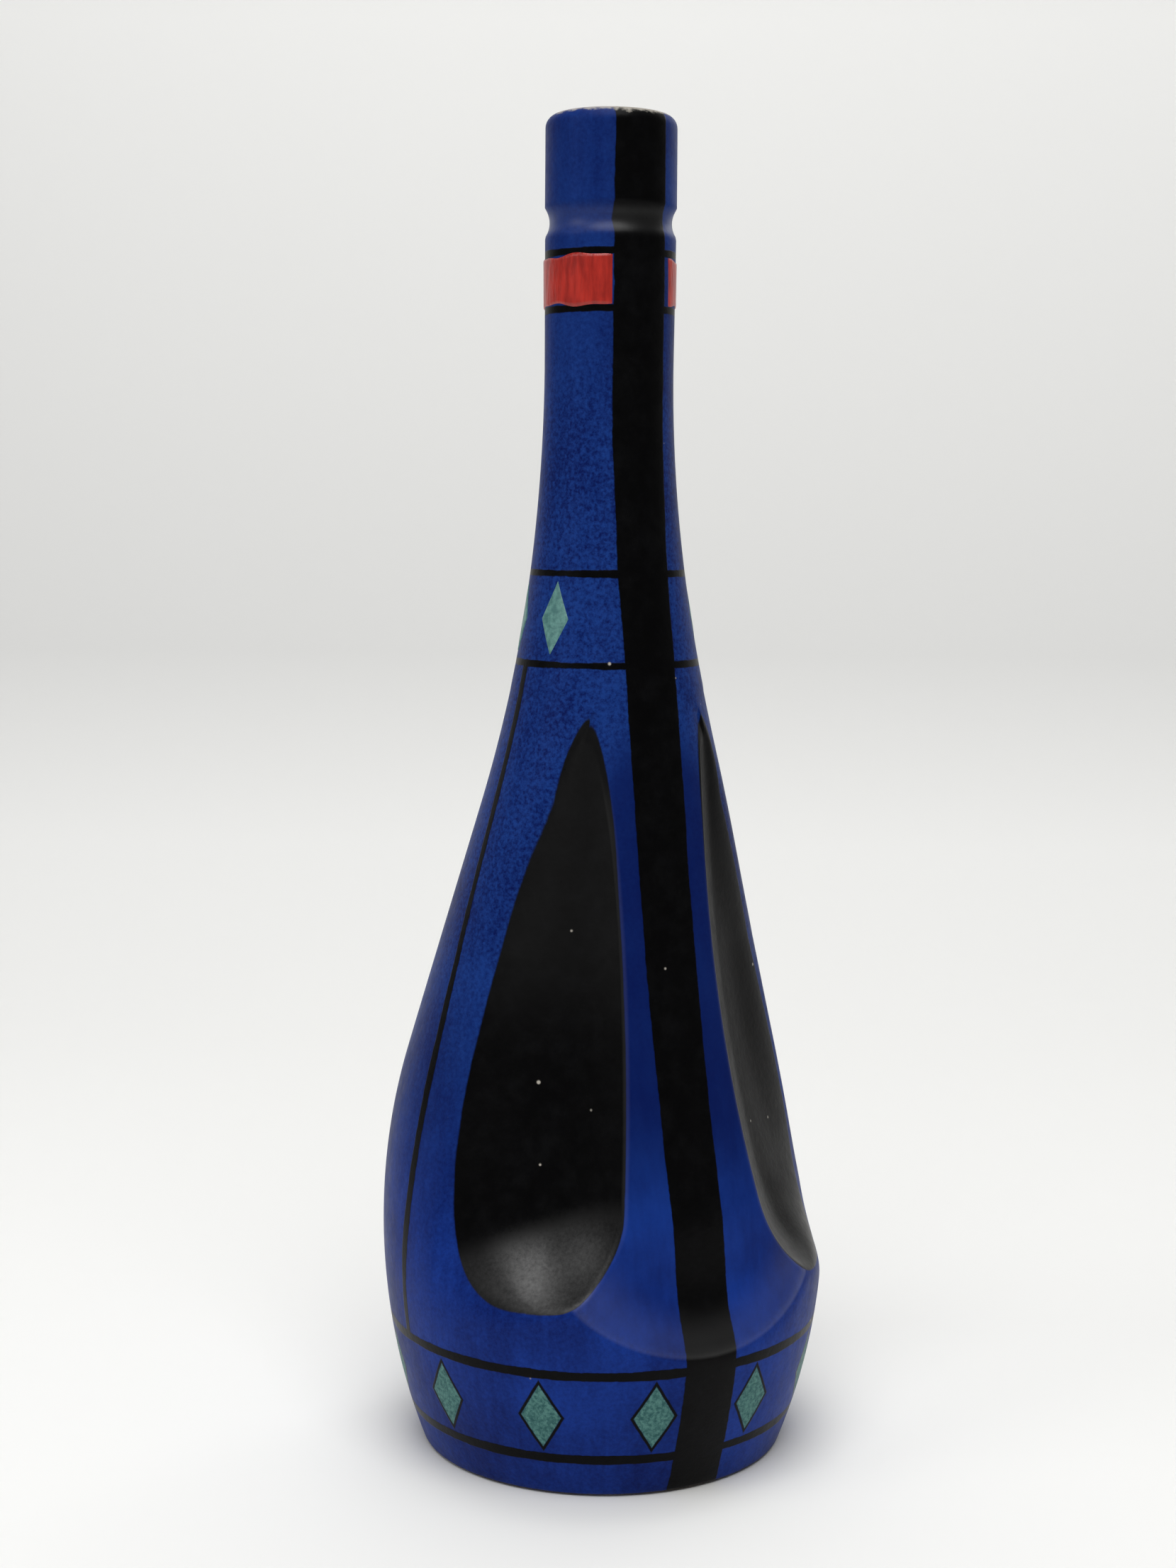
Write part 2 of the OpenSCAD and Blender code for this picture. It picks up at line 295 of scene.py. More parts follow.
jug = {  # millimetres and degrees; a turn is measured round from the rib
    "height": 310,
    "bellyR": 52.6, "bellyZ": 53, "bellyRound": 145, "shoulderLean": 16.5,
    "neckR": 14.8, "neckZ": 253, "neckSwell": 0.25,
    "grooveDepth": 1, "grooveH": 6.5, "collarH": 21, "collarStep": 0.1, "collarStart": 1,
    "rimRound": 3, "mouthRound": 1.4,
    "glaze": 0.5, "wall": 4.4, "floor": 7, "footBevel": 1.6, "glazeLine": 0.7,
    # the rib's sunken face, its shelf, and how it fades out at the sides
    "ribTopZ": 174, "shelfZ": 52, "ribSink": 5.6, "ribRound": 680, "crownLean": 24, "shelfRound": 28,
    "ribSweep": 42, "ribEase": 2, "ribFade": 3,
    # the finger hollow: a ball, its drawn-out tip, and the flank between them
    "ballR": 34, "ballOut": 71.3, "ballTurn": 43.8, "ballZ": 73.3,
    "tipOut": 18.4, "tipTurn": 33.9, "tipZ": 192, "tearSlant": 8.34, "tearBend": 0.0014,
    # the cheek beside the hollow, and its slanting end
    "cheekR": 25.3, "cheekOut": 19, "cheekZ": 107, "cheekLean": 15.4, "cheekTurn": 105,
    "cheekStart": 17.5, "cheekBack": 2, "cheekTopZ": 179,
    "cheekEndZ": 43, "cheekEndTurn": 60, "cheekEndSlope": 68,
    # how softly the faces run into each other
    "cheekSoft": 4, "cheekCorner": 14, "shelfTurn": 6, "shelfSoft": 1.6, "crownSoft": 3,
    "creaseSoft": 1.1, "farSoft": 9, "farTurn": 40, "farSpan": 22, "tipSpan": 60, "tipSharp": 0.15,
}
clayIn = jug["glaze"] + jug["wall"]
shellIn = clayIn + jug["glaze"]
boreR = jug["neckR"] - clayIn


# radii and heights up the outside, from arcs and tangents
def profileLine(points=60, groovePoints=24):
    lean = math.radians(jug["shoulderLean"])
    bellyRound = jug["bellyRound"]
    a = np.linspace(math.asin(-jug["bellyZ"] / bellyRound), lean, points)
    bellyR = jug["bellyR"] - bellyRound + bellyRound * np.cos(a)
    bellyZ = jug["bellyZ"] + bellyRound * np.sin(a)
    fall = math.tan(lean) * (jug["neckZ"] - bellyZ[-1])
    neckRound = (jug["neckR"] - bellyR[-1] + fall) / (1 / math.cos(lean) - 1)
    a = np.linspace(lean, 0, points)
    neckR = jug["neckR"] + neckRound * (1 - np.cos(a))
    neckZ = jug["neckZ"] - neckRound * np.sin(a)
    lipR = jug["neckR"] + jug["neckSwell"]
    depth, half = jug["grooveDepth"], jug["grooveH"] / 2
    grooveRound = (half ** 2 + depth ** 2) / (2 * depth)
    low = math.acos((grooveRound - depth) / grooveRound)
    high = math.acos((grooveRound - depth - jug["collarStep"]) / grooveRound)
    a = np.linspace(-low, high, groovePoints)
    grooveR = lipR - depth + grooveRound * (1 - np.cos(a))
    grooveZ = jug["height"] - jug["collarH"] - half + grooveRound * np.sin(a)
    collarR = lipR + jug["collarStep"]
    r = np.concatenate([bellyR, neckR, grooveR, [collarR, collarR]])
    z = np.concatenate([bellyZ, neckZ, grooveZ, [grooveZ[-1] + jug["collarStart"], jug["height"]]])
    return r, z


profileR, profileZ = profileLine()
profileCos = 1 / np.hypot(1, np.gradient(profileR) / np.maximum(np.gradient(profileZ), 1e-6))


def turned(radius, degrees, z):
    a = math.radians(degrees)
    return np.array([radius * math.sin(a), -radius * math.cos(a), z])


def smoothMax(a, b, soft):
    near = np.clip(soft - np.abs(a - b), 0, None) / soft
    return np.maximum(a, b) + near * near * soft / 4


# the next three are the cuts of the grip on one side, each above 0 where clay is taken away

# sunken rib face and shelf, turned about a leaning axis
def ribCut(x, y, z):
    lean = math.radians(jug["crownLean"])
    up = z - jug["ribTopZ"]
    forward = y * math.cos(lean) + up * math.sin(lean)
    along = up * math.cos(lean) - y * math.sin(lean)
    away = np.hypot(x, forward)
    out = away * math.cos(lean) + along * math.sin(lean)
    high = along * math.cos(lean) - away * math.sin(lean) + jug["ribTopZ"]
    topR = np.interp(jug["ribTopZ"], profileZ, profileR)
    lowR = np.interp(jug["shelfZ"], profileZ, profileR) - jug["ribSink"]
    chord = np.array([lowR - topR, jug["shelfZ"] - jug["ribTopZ"]])
    length = np.hypot(*chord)
    rise = math.sqrt(jug["ribRound"] ** 2 - length ** 2 / 4)
    square = np.array([-chord[1], chord[0]]) / length
    centre = np.array([topR, jug["ribTopZ"]]) + chord / 2 + rise * square
    face = jug["ribRound"] - np.hypot(out - centre[0], high - centre[1])
    shelf = jug["shelfRound"] - np.hypot(out - lowR - jug["shelfRound"], high - jug["shelfZ"])
    turn = np.degrees(np.arctan2(x, -forward))
    fade = jug["ribFade"] * np.clip(turn - jug["ribSweep"] + jug["ribEase"], 0, None)
    return smoothMax(face, shelf, jug["shelfTurn"]) - fade - np.clip(up, 0, None)


# tear-shaped finger hollow: a ball drawn out along a bending flank to its tip
def hollowCut(x, y, z):
    ball = turned(jug["ballOut"], jug["ballTurn"], jug["ballZ"])
    tear = turned(jug["tipOut"], jug["tipTurn"], jug["tipZ"]) - ball
    tear = tear / np.linalg.norm(tear)
    dx, dy, dz = x - ball[0], y - ball[1], z - ball[2]
    along = dx * tear[0] + dy * tear[1] + dz * tear[2]
    away = np.sqrt(np.clip(dx * dx + dy * dy + dz * dz - along * along, 0, None))
    slant = math.radians(jug["tearSlant"])
    past = np.clip(along - jug["ballR"] * math.sin(slant), 0, None)
    flank = jug["ballR"] * math.cos(slant) - math.tan(slant) * past - jug["tearBend"] * past ** 2
    fall = math.tan(slant) + 2 * jug["tearBend"] * past
    ballDepth = jug["ballR"] - np.hypot(away, along)
    return np.where(past > 0, (flank - away) / np.hypot(1, fall), ballDepth)


# soft cheek: outside a leaning cylinder, above a slanting end
def cheekCut(x, y, z):
    axisTurn, axisLean = math.radians(jug["cheekTurn"] - 90), math.radians(jug["cheekLean"])
    base = turned(jug["cheekOut"], jug["cheekTurn"], jug["cheekZ"])
    side = np.array([math.cos(axisTurn), math.sin(axisTurn), 0])
    across = np.array([-math.sin(axisTurn), math.cos(axisTurn), 0])
    leaning = side * math.cos(axisLean) + np.array([0, 0, math.sin(axisLean)])
    px = (x - base[0]) * leaning[0] + (y - base[1]) * leaning[1] + (z - base[2]) * leaning[2]
    py = (x - base[0]) * across[0] + (y - base[1]) * across[1]
    cheek = np.hypot(px, py) - jug["cheekR"]
    sweep = math.radians(jug["cheekTurn"] - jug["cheekStart"])
    start = px * math.sin(sweep) + py * math.cos(sweep)  # it starts in the hollow
    cheek = -smoothMax(-cheek, -start, jug["cheekCorner"])
    cheek = np.minimum(cheek, jug["cheekBack"] - py)
    cheek = cheek - np.clip(z - jug["cheekTopZ"], 0, None)
    endR = np.interp(jug["cheekEndZ"], profileZ, profileR)
    end = turned(endR, jug["cheekEndTurn"], jug["cheekEndZ"])
    slope, endTurn = math.radians(jug["cheekEndSlope"]), math.radians(jug["cheekEndTurn"])
    above = (
        (x - end[0]) * math.sin(slope) * math.sin(endTurn)
        - (y - end[1]) * math.sin(slope) * math.cos(endTurn)
        + (z - end[2]) * math.cos(slope)
    )
    return -smoothMax(-cheek, -above, jug["cheekSoft"])


# the form before the finger hollows, the hollows, and how far the rib lies below the round wall;
# the first two are 0 at the surface and below 0 in the clay
def formParts(x, y, z):
    side = np.abs(x)
    rib = ribCut(side, y, z)
    wall = (np.hypot(x, y) - np.interp(z, profileZ, profileR)) * np.interp(z, profileZ, profileCos)
    wall = smoothMax(wall, cheekCut(side, y, z), jug["cheekSoft"])
    soft = np.interp(z, [jug["shelfZ"], 2 * jug["shelfZ"]], [jug["shelfSoft"], jug["crownSoft"]])
    return smoothMax(wall, rib, soft), hollowCut(side, y, z), rib - wall


def formField(x, y, z):
    form, hollow = formParts(x, y, z)[:2]
    turn = np.degrees(np.arctan2(np.abs(x), -y))
    far = np.clip((turn - jug["farTurn"]) / jug["farSpan"], 0, 1)
    soft = jug["creaseSoft"] + (jug["farSoft"] - jug["creaseSoft"]) * far * far * (3 - 2 * far)
    # sharper towards the tip, where the hollow is shallow
    tip = np.clip((jug["cheekTopZ"] - z) / jug["tipSpan"], jug["tipSharp"], 1)
    return smoothMax(form, hollow, soft * tip)


rays = {"start": 1.0, "past": 1, "strides": 28, "halvings": 18}  # mm from the axis, mm past the wall


# radius of a form along level rays from the axis, where its field reaches a depth
def rayRadius(field, angle, z, depth=0.0):
    sine, cosine = np.sin(angle), -np.cos(angle)
    top = np.interp(z, profileZ, profileR) + rays["past"]
    low, high = np.full(np.shape(z), rays["start"]), top.copy()
    found = np.zeros(np.shape(z), bool)
    for i in range(1, rays["strides"] + 1):
        r = rays["start"] + (top - rays["start"]) * i / rays["strides"]
        outside = field(r * sine, r * cosine, z) > -depth
        high = np.where(outside & ~found, r, high)
        low = np.where(found | outside, low, r)
        found |= outside
    for i in range(rays["halvings"]):
        r = (low + high) / 2
        outside = field(r * sine, r * cosine, z) > -depth
        high = np.where(outside, r, high)
        low = np.where(outside, low, r)
    return (low + high) / 2


# a flat grid rolled up like a slab of clay: rows run along the wall, columns round the axis
def rollSlab(name, angle, radius, height):
    rows, columns = angle.shape
    bpy.ops.object.select_all(action="DESELECT")
    bpy.ops.mesh.primitive_grid_add(x_subdivisions=columns - 1, y_subdivisions=rows - 1, size=1)
    slab = bpy.context.object
    slab.name = name
    slab.data.name = name
    flat = np.empty(len(slab.data.vertices) * 3)
    slab.data.vertices.foreach_get("co", flat)
    flat = flat.reshape(-1, 3)
    column = np.rint((flat[:, 0] + 0.5) * (columns - 1)).astype(int)
    row = np.rint((flat[:, 1] + 0.5) * (rows - 1)).astype(int)
    a, r, z = angle[row, column], radius[row, column], height[row, column]
    placed = np.stack([r * np.sin(a), -r * np.cos(a), z], axis=1) * mm
    slab.data.vertices.foreach_set("co", placed.ravel())
    slab.data.update()
    return slab, row, column


# joins seam and poles within the weld's mm, turns the faces outwards and smooths them
def closeSlab(piece, smoothAngle=60, weld=0.005):
    bpy.context.view_layer.objects.active = piece
    bpy.ops.object.mode_set(mode="EDIT")
    bpy.ops.mesh.select_all(action="SELECT")
    bpy.ops.mesh.remove_doubles(threshold=weld * mm)
    bpy.ops.mesh.normals_make_consistent(inside=False)
    bpy.ops.object.mode_set(mode="OBJECT")
    bpy.ops.object.select_all(action="DESELECT")
    piece.select_set(True)
    bpy.ops.object.shade_smooth_by_angle(angle=math.radians(smoothAngle))


def storeAttribute(piece, name, values):
    made = piece.data.attributes.new(name, "FLOAT", "POINT")
    made.data.foreach_set("value", np.ascontiguousarray(values, dtype=np.float32))


def finishPiece(piece, material, slotName, *nodes):
    piece.data.materials.clear()
    piece.data.materials.append(material)
    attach(piece, "root")
    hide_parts(*nodes)


body = {
    "columns": (36, 66, 46),  # on each side, over the rib, the hollow and the back
    "hollowEnd": 78,  # degrees round from the rib where the fine columns stop
    "creaseSearch": (8, 42, 137),  # degrees from and to, and the number of rays
    "creaseLimit": 36,
    "firstRow": 0.4,  # mm above the glaze line
    # heights with the row spacing below each
    "rows": ((40, 1.7), (186, 0.92), (262, 2.3), (282, 1.3), (290, 0.75), (304, 1.7)),
    "topRows": 3,
    "innerStep": 6,
    "rimRings": 8, "mouthRings": 6, "boreRings": 6, "boreDrop": 4,
    "underside": ((0, 3.6), (0.5, 3.6), (0.93, 3.6), (0.965, 1.6)),  # share of the radius, height
    "glazeLip": ((0.8, -0.1), (0.25, 0)),  # mm in from the wall, mm above the glaze line
    "thumbStrokes": 80, "thumbTurn": 46, "thumbSpan": 12,  # degrees
    "crownStrokes": 160, "crownReach": 12,  # mm either way
    "wobble": 0.1, "wobblePitch": (38, 21),  # mm
    "edgeSpan": 10,  # degrees
    "offWall": -30.0,  # both attributes away from the outer wall
    "smoothAngle": 75,
}


# where each row's rib meets the hollow, so that a line of the mesh runs along the crease
def creaseAngles(z):
    steps = np.radians(np.linspace(*body["creaseSearch"]))
    a, high = np.meshgrid(steps, z)
    r = rayRadius(lambda *p: formParts(*p)[0], a, high)
    hollow = formParts(r * np.sin(a), -r * np.cos(a), high)[1]
    inside = hollow > 0
    first = np.argmax(inside, axis=1)
    good = inside.any(axis=1) & (first > 0)
    rows = np.arange(len(z))
    before, after = hollow[rows, first - 1], hollow[rows, first]
    share = np.where(good, -before / np.where(good, after - before, 1), 0)
    crease = steps[first - 1] + share * (steps[1] - steps[0])
    good &= crease < math.radians(body["creaseLimit"])
    return np.interp(z, z[good], crease[good])


def columnAngles(crease, columns):
    rib, hollow, back = columns
    count = rib + hollow + back
    side = np.abs(np.arange(-count, count + 1))[None, :]
    crease = crease[:, None]
    end = math.radians(body["hollowEnd"])
    angle = np.where(
        side <= rib, crease * side / rib,
        np.where(
            side <= rib + hollow, crease + (end - crease) * (side - rib) / hollow,
            end + (math.pi - end) * (side - rib - hollow) / back,
        ),
    )
    return angle * np.sign(np.arange(-count, count + 1))[None, :]


def bodyRows():
    z = [jug["glazeLine"] + body["firstRow"]]
    for top, spacing in body["rows"]:
        count = max(1, round((top - z[-1]) / spacing))
        z.extend(np.linspace(z[-1], top, count + 1)[1:])
    z.extend(np.linspace(z[-1], jug["height"] - jug["rimRound"], body["topRows"] + 1)[1:])
    return np.array(z)


# evens out radii from row to row, in place, as far as the weights say
def strokeOut(radius, weight, strokes):
    for i in range(strokes):
        hump = (radius[:-2] + radius[2:]) / 2 - radius[1:-1]
        radius[1:-1] += weight[1:-1] * hump / 2


def outerWall(z, crease):
    angle = columnAngles(crease, body["columns"])
    high = np.broadcast_to(z[:, None], angle.shape)
    radius = rayRadius(formField, angle, high)
    # one broad scoop from the hollow over its cheek, as a thumb leaves it
    thumb = np.clip((np.degrees(np.abs(angle)) - body["thumbTurn"]) / body["thumbSpan"], 0, 1)
    strokeOut(radius.T, thumb.T, body["thumbStrokes"])
    # the rib's top runs into the neck without an edge
    crown = np.clip(1 - np.abs(high - jug["ribTopZ"]) / body["crownReach"], 0, 1)
    crown = crown * np.clip(2 - 2 * np.abs(angle) / crease[:, None], 0, 1)
    strokeOut(radius, crown, body["crownStrokes"])
    first, second = body["wobblePitch"]
    wobble = np.sin(2 * angle + high / first) + np.sin(3 * angle - high / second)
    return angle, radius + body["wobble"] * wobble, high


def innerWall(outerZ, crease):
    z = np.arange(jug["neckZ"] - body["innerStep"], jug["floor"], -body["innerStep"])
    z = np.append(z, jug["floor"])
    angle = columnAngles(np.interp(z, outerZ, crease), body["columns"])
    high = np.broadcast_to(z[:, None], angle.shape)
    return angle, rayRadius(formField, angle, high, clayIn), high


def levelRing(angle, radius, z):
    return angle, np.broadcast_to(radius, angle.shape), np.full(angle.shape, z)


def undersideRings(angle, wall):
    rings = [levelRing(angle, wall * share, z) for share, z in body["underside"]]
    for inset, up in body["glazeLip"]:
        rings.append(levelRing(angle, wall - inset, jug["glazeLine"] + up))
    return rings


# over the rounded rim and down the bore
def mouthRings(angle, wall):
    top, rim, mouth = jug["height"], jug["rimRound"], jug["mouthRound"]
    rings = []
    for a in np.radians(np.linspace(0, 90, body["rimRings"] + 1)[1:]):
        rings.append(levelRing(angle, wall - rim * (1 - math.cos(a)), top - rim * (1 - math.sin(a))))
    for a in np.radians(np.linspace(90, 0, body["mouthRings"])):
        rings.append(levelRing(angle, boreR + mouth * (1 - math.cos(a)), top - mouth * (1 - math.sin(a))))
    for z in np.linspace(top - body["boreDrop"], jug["neckZ"], body["boreRings"]):
        rings.append(levelRing(angle, boreR, z))
    return rings


def makeBody():
    z = bodyRows()
    crease = creaseAngles(z)
    angle, radius, high = outerWall(z, crease)
    under = undersideRings(angle[:1], radius[:1])
    mouth = mouthRings(angle[-1:], radius[-1:])
    floor = levelRing(angle[:1], 0, jug["floor"])
    parts = under + [(angle, radius, high)] + mouth + [innerWall(z, crease), floor]
    slab = [np.concatenate(values) for values in zip(*parts)]
    piece, row, column = rollSlab("glazed_body", *slab)
    # the paint's edge lies along the crease beside the rib, and on the hollow's own edge beyond
    form, hollow, sunk = formParts(radius * np.sin(angle), -radius * np.cos(angle), high)
    ribSide = np.clip((jug["ballTurn"] - np.degrees(np.abs(angle))) / body["edgeSpan"] + 0.5, 0, 1)
    for attribute, values in (("hollowEdge", hollow - form * ribSide), ("ribDepth", sunk)):
        spread = np.full(slab[0].shape, body["offWall"])
        spread[len(under):len(under) + len(z)] = values
        storeAttribute(piece, attribute, spread[row, column])
    closeSlab(piece, body["smoothAngle"])
    print("glazed body:", len(piece.data.polygons), "faces")
    return piece


painting = {  # mm, and radians round from the rib
    "black": (0.001, 0.001, 0.0012, 1), "blackWorn": (0.0025, 0.0026, 0.003, 1),
    "blackGrain": (6, 5), "blackSpeck": 0.3, "blackTone": (0.55, 0.95),  # a grain's size and detail
    "turquoiseDeep": (0.03, 0.1, 0.1, 1), "turquoisePale": (0.1, 0.24, 0.215, 1),
    "turquoiseTone": (0.35, 0.66),
    # how the brush wavers: grain size, detail and reach
    "broadWaver": (14, 3, 0.9), "fineWaver": (1.6, 2, 0.35), "lineSoft": 0.14,
    "stripeHalf": 6.5, "stripeFront": (0.5, -0.5),
    "neckRings": (278.3, 265.7, 206.3, 185.7),  # heights of the thin rings' middles
    "neckRingHalf": 0.8,
    "goreCount": 12, "goreHalf": 1.1, "goreLow": 31, "goreEndSoft": 0.2,
    "goreStart": (1.19, 1.21),
    "beltZ": 20.5, "beltLow": 10, "beltLozengeH": 7.6, "beltLozengeW": 4.6, "beltCount": 12,
    "beltWaver": 0.12, "beltEdge": (1.04, 0.97), "beltRim": (1.22, 1.15),  # shares of a lozenge
    # black past the hollow's edge on the cheek and at the tip, and the tip's rounding
    "cheekLap": 6, "cheekLapTurn": (0.7, 1.25), "tipLap": 0.75, "tipLapZ": (125, 165),
    "tipRoundZ": 170.5, "tipRound": 24,
    "hollowWaver": 0.35, "hollowSoft": (-0.15, 0.15),
}


# where a point of the glaze lies, and the grain that several masks share
def placeOnJug(start):
    point = millimetres(start)
    x, y, z = (start.node("ShaderNodeSeparateXYZ", None, {0: point}, output=i) for i in range(3))
    hollow, ribDepth = (
        start.node("ShaderNodeAttribute", {"attribute_name": name}, output="Fac")
        for name in ("hollowEdge", "ribDepth")
    )
    return SimpleNamespace(
        point=point, x=x, y=y, z=z,
        angle=start.maths("ARCTAN2", x, y * -1), radius=start.maths("SQRT", x * x + y * y),
        hollow=hollow, ribDepth=ribDepth,
        waver=wander(point, *painting["broadWaver"]) + wander(point, *painting["fineWaver"]),
        speck=grain(point, *blueGlaze["speckGrain"], roughness=blueGlaze["speckRoughness"]),
    )


def brushLine(at, distance, half):
    return step(distance + at.waver, half + painting["lineSoft"], half - painting["lineSoft"])


# mm round the jug from the nearest of evenly spaced places
def roundGap(at, turn, count):
    return abs(turn.maths("WRAP", turn, math.pi / count, -math.pi / count)) * at.radius


# the upright stripe by itself, and all black lines together
def blackLines(at):
    stripe = brushLine(at, abs(at.x), painting["stripeHalf"]) * step(at.y, *painting["stripeFront"])
    low, top, soft = painting["goreLow"], painting["neckRings"][-1], painting["goreEndSoft"]
    gores = brushLine(at, roundGap(at, at.angle, painting["goreCount"]), painting["goreHalf"])
    gores = gores * step(at.z, low - soft, low + soft) * step(at.z, top + soft, top - soft)
    lines = stripe | gores * step(abs(at.angle), *painting["goreStart"])
    for high in painting["neckRings"]:
        lines = lines | brushLine(at, abs(at.z - high), painting["neckRingHalf"])
    for high in (painting["goreLow"], painting["beltLow"]):
        lines = lines | brushLine(at, abs(at.z - high), painting["goreHalf"])
    return stripe, lines


def blackHollows(at):
    lap = at.z.node("ShaderNodeMapRange", None, {
        "Value": at.z, "From Min": jug["ballZ"], "From Max": jug["cheekTopZ"],
        "To Min": painting["cheekLap"], "To Max": 0,
    })
    lap = lap * step(abs(at.angle), *painting["cheekLapTurn"])
    lap = lap | step(at.z, *painting["tipLapZ"]) * painting["tipLap"]
    over = (at.z - painting["tipRoundZ"]) | 0
    lap = lap - over * over / (2 * painting["tipRound"])
    return step(at.hollow + lap + at.waver * painting["hollowWaver"], *painting["hollowSoft"])


# 0 in the middle of each of the belt's lozenges and 1 at its edge
def beltLozenges(at):
    turn = at.angle + math.pi / painting["beltCount"]
    across = roundGap(at, turn, painting["beltCount"]) / painting["beltLozengeW"]
    up = abs(at.z - painting["beltZ"]) / painting["beltLozengeH"]
    return across + up + at.waver * painting["beltWaver"]


blueGlaze = {  # mm
    "deep": (0.0006, 0.006, 0.075, 1), "pale": (0.008, 0.039, 0.21, 1), "foot": (0.0085, 0.044, 0.3, 1),
    "footZ": (100, 45),
    "toneBase": 0.45, "tone": (0.62, 1.2),
    # a grain's size and detail, and how far it is drawn out
    "driftGrain": (34, 3), "drift": 0.7,
    "brushGrain": (2.2, 4, (1, 1, 7)), "brushed": 0.2,
    "speckGrain": (0.9, 5), "speckRoughness": 0.7,
    "speckLeast": 0.4, "speckMore": 1.1, "speckLowZ": (75, 150), "speckTopZ": (280, 225),
    "ribDepth": (-0.2, 1.6), "ribShadeZ": (55, 95), "ribCalmAndShade": 0.7,  # the rib is less speckled, and darker as painted shade on its sunken face
}


# sponged speckle over a brushed drift, with painted shade darkening the sunken rib face above the shelf
def blueGround(at):
    rib = step(at.ribDepth, *blueGlaze["ribDepth"])
    drift = grain(at.point, *blueGlaze["driftGrain"]) * blueGlaze["drift"]
    brushed = grain(at.point, *blueGlaze["brushGrain"]) * blueGlaze["brushed"]
    sponged = step(at.z, *blueGlaze["speckLowZ"]) * step(at.z, *blueGlaze["speckTopZ"])
    sponged = blueGlaze["speckLeast"] + sponged * blueGlaze["speckMore"]
    speckled = (at.speck - 0.5) * sponged * (1 - rib * blueGlaze["ribCalmAndShade"])
    tone = step(blueGlaze["toneBase"] + speckled + drift + brushed, *blueGlaze["tone"])
    # painted shade: the rib's sunken face is darkened above the shelf
    tone = tone * (1 - rib * step(at.z, *blueGlaze["ribShadeZ"]) * blueGlaze["ribCalmAndShade"])
    pale = mix(step(at.z, *blueGlaze["footZ"]), blueGlaze["pale"], blueGlaze["foot"])
    return mix(tone, blueGlaze["deep"], pale)


wear = {  # mm
    "bareClay": (0.42, 0.39, 0.34, 1), "cream": (0.55, 0.5, 0.41, 1),
    "holePitch": 9, "holeSpread": 0.9, "holeEdge": (0.62, 0.3), "holeZ": (20, 30),
    "chips": (2.2, 5, 3, 0.65),  # grain size, detail, reach and roughness
    "rimEdge": (1.2, 0.4), "rimWear": 0.75,  # below the top
    "lipWaver": 0.3, "lipEdge": (0.2, -0.4), "lipDepth": 5,
}


def pinholes(at):
    pitch = wear["holePitch"]
    cells = at.point.node("ShaderNodeVectorMath", {"operation": "SCALE"}, {0: at.point, "Scale": 1 / pitch})
    near, pick = (
        cells.node("ShaderNodeTexVoronoi", None, {"Vector": cells, "Scale": 1}, output=name)
        for name in ("Distance", "Color")
    )
    rare = 1 - pick.node("ShaderNodeSeparateColor", None, {0: pick})
    return step(near * pitch + rare * wear["holeSpread"], *wear["holeEdge"]) * step(at.z, *wear["holeZ"])


def wornRim(at):
    low, high = (jug["height"] - drop for drop in wear["rimEdge"])
    return step(at.z + wander(at.point, *wear["chips"]), low, high) * wear["rimWear"]


# the lining's glaze comes up over the inner lip
def creamLip(at):
    low, high = (boreR + jug["mouthRound"] + past for past in wear["lipEdge"])
    lip = step(at.radius + at.waver * wear["lipWaver"], low, high)
    return lip * step(at.z, jug["neckZ"], jug["neckZ"] + wear["lipDepth"])


gloss = {  # mm, and radians round from the rib
    "specular": 0.07, "coatRoughness": 0.4,
    "roughness": 0.43, "roughGrain": (3, 4, 0.22), "blackSmooth": 0.1, "bareRough": 0.2,
    "shelfDepth": ((-0.3, 0.3), (5.8, 2)), "shelfZ": (70, 46),
    "grooveZ": 285.2, "grooveReach": (3.8, 0.6), "grooveCoat": 0.7,
    "arrisReach": (1.1, 0.3), "arrisTurn": (0.75, 0.6), "arrisZ": ((50, 66), (170, 150)), "arrisCoat": 0.55,
    # the gloss on a hollow's floor: its upper edge climbs towards the rib
    "floorSlope": (0.31, 0.17), "floorWaver": 4, "floorEdge": (69, 63),
    "floorMiddle": ((17, 27), (44, 37)), "floorDull": 0.4, "floorDry": 0.1, "floorSpeck": 1.7,
    "upperZ": (95, 125), "upperCoat": 0.2,
    "leftSide": (6, -6), "rightShare": 0.2,
    # bump: grain size, detail and share
    "skin": ((1.6, 3, 0.5), (0.5, 2, 0.12)), "blackThick": 0.25, "holeDeep": 1.5, "skinDepth": 0.12,
}


# glossier where the glaze has pooled: the hollows, the shelf and the collar's groove
def pooledGlaze(at, bowl):
    side = abs(at.x)
    (sunk, level), (low, high), (inner, outer) = gloss["shelfDepth"], gloss["arrisZ"], gloss["floorMiddle"]
    shelf = step(at.ribDepth, *sunk) * step(at.ribDepth, *level)
    shelf = shelf * step(at.z, *gloss["shelfZ"]) * (1 - bowl)
    groove = step(abs(at.z - gloss["grooveZ"]), *gloss["grooveReach"])
    arris = step(abs(at.hollow), *gloss["arrisReach"]) * step(abs(at.angle), *gloss["arrisTurn"])
    arris = arris * step(at.z, *low) * step(at.z, *high)
    outSlope, backSlope = gloss["floorSlope"]
    edge = at.z + side * outSlope + at.y * backSlope + (at.speck - 0.5) * gloss["floorWaver"]
    middle = step(side, *inner) * step(side, *outer)
    floor = step(edge, *gloss["floorEdge"]) * (gloss["floorDry"] + at.speck * gloss["floorSpeck"])
    floor = floor * (gloss["floorDull"] + middle * (1 - gloss["floorDull"]))
    inHollow = floor * bowl | arris * gloss["arrisCoat"]
    inHollow = inHollow | bowl * step(at.z, *gloss["upperZ"]) * gloss["upperCoat"]
    left = gloss["rightShare"] + step(at.x, *gloss["leftSide"]) * (1 - gloss["rightShare"])
    return inHollow * left | shelf | groove * gloss["grooveCoat"]


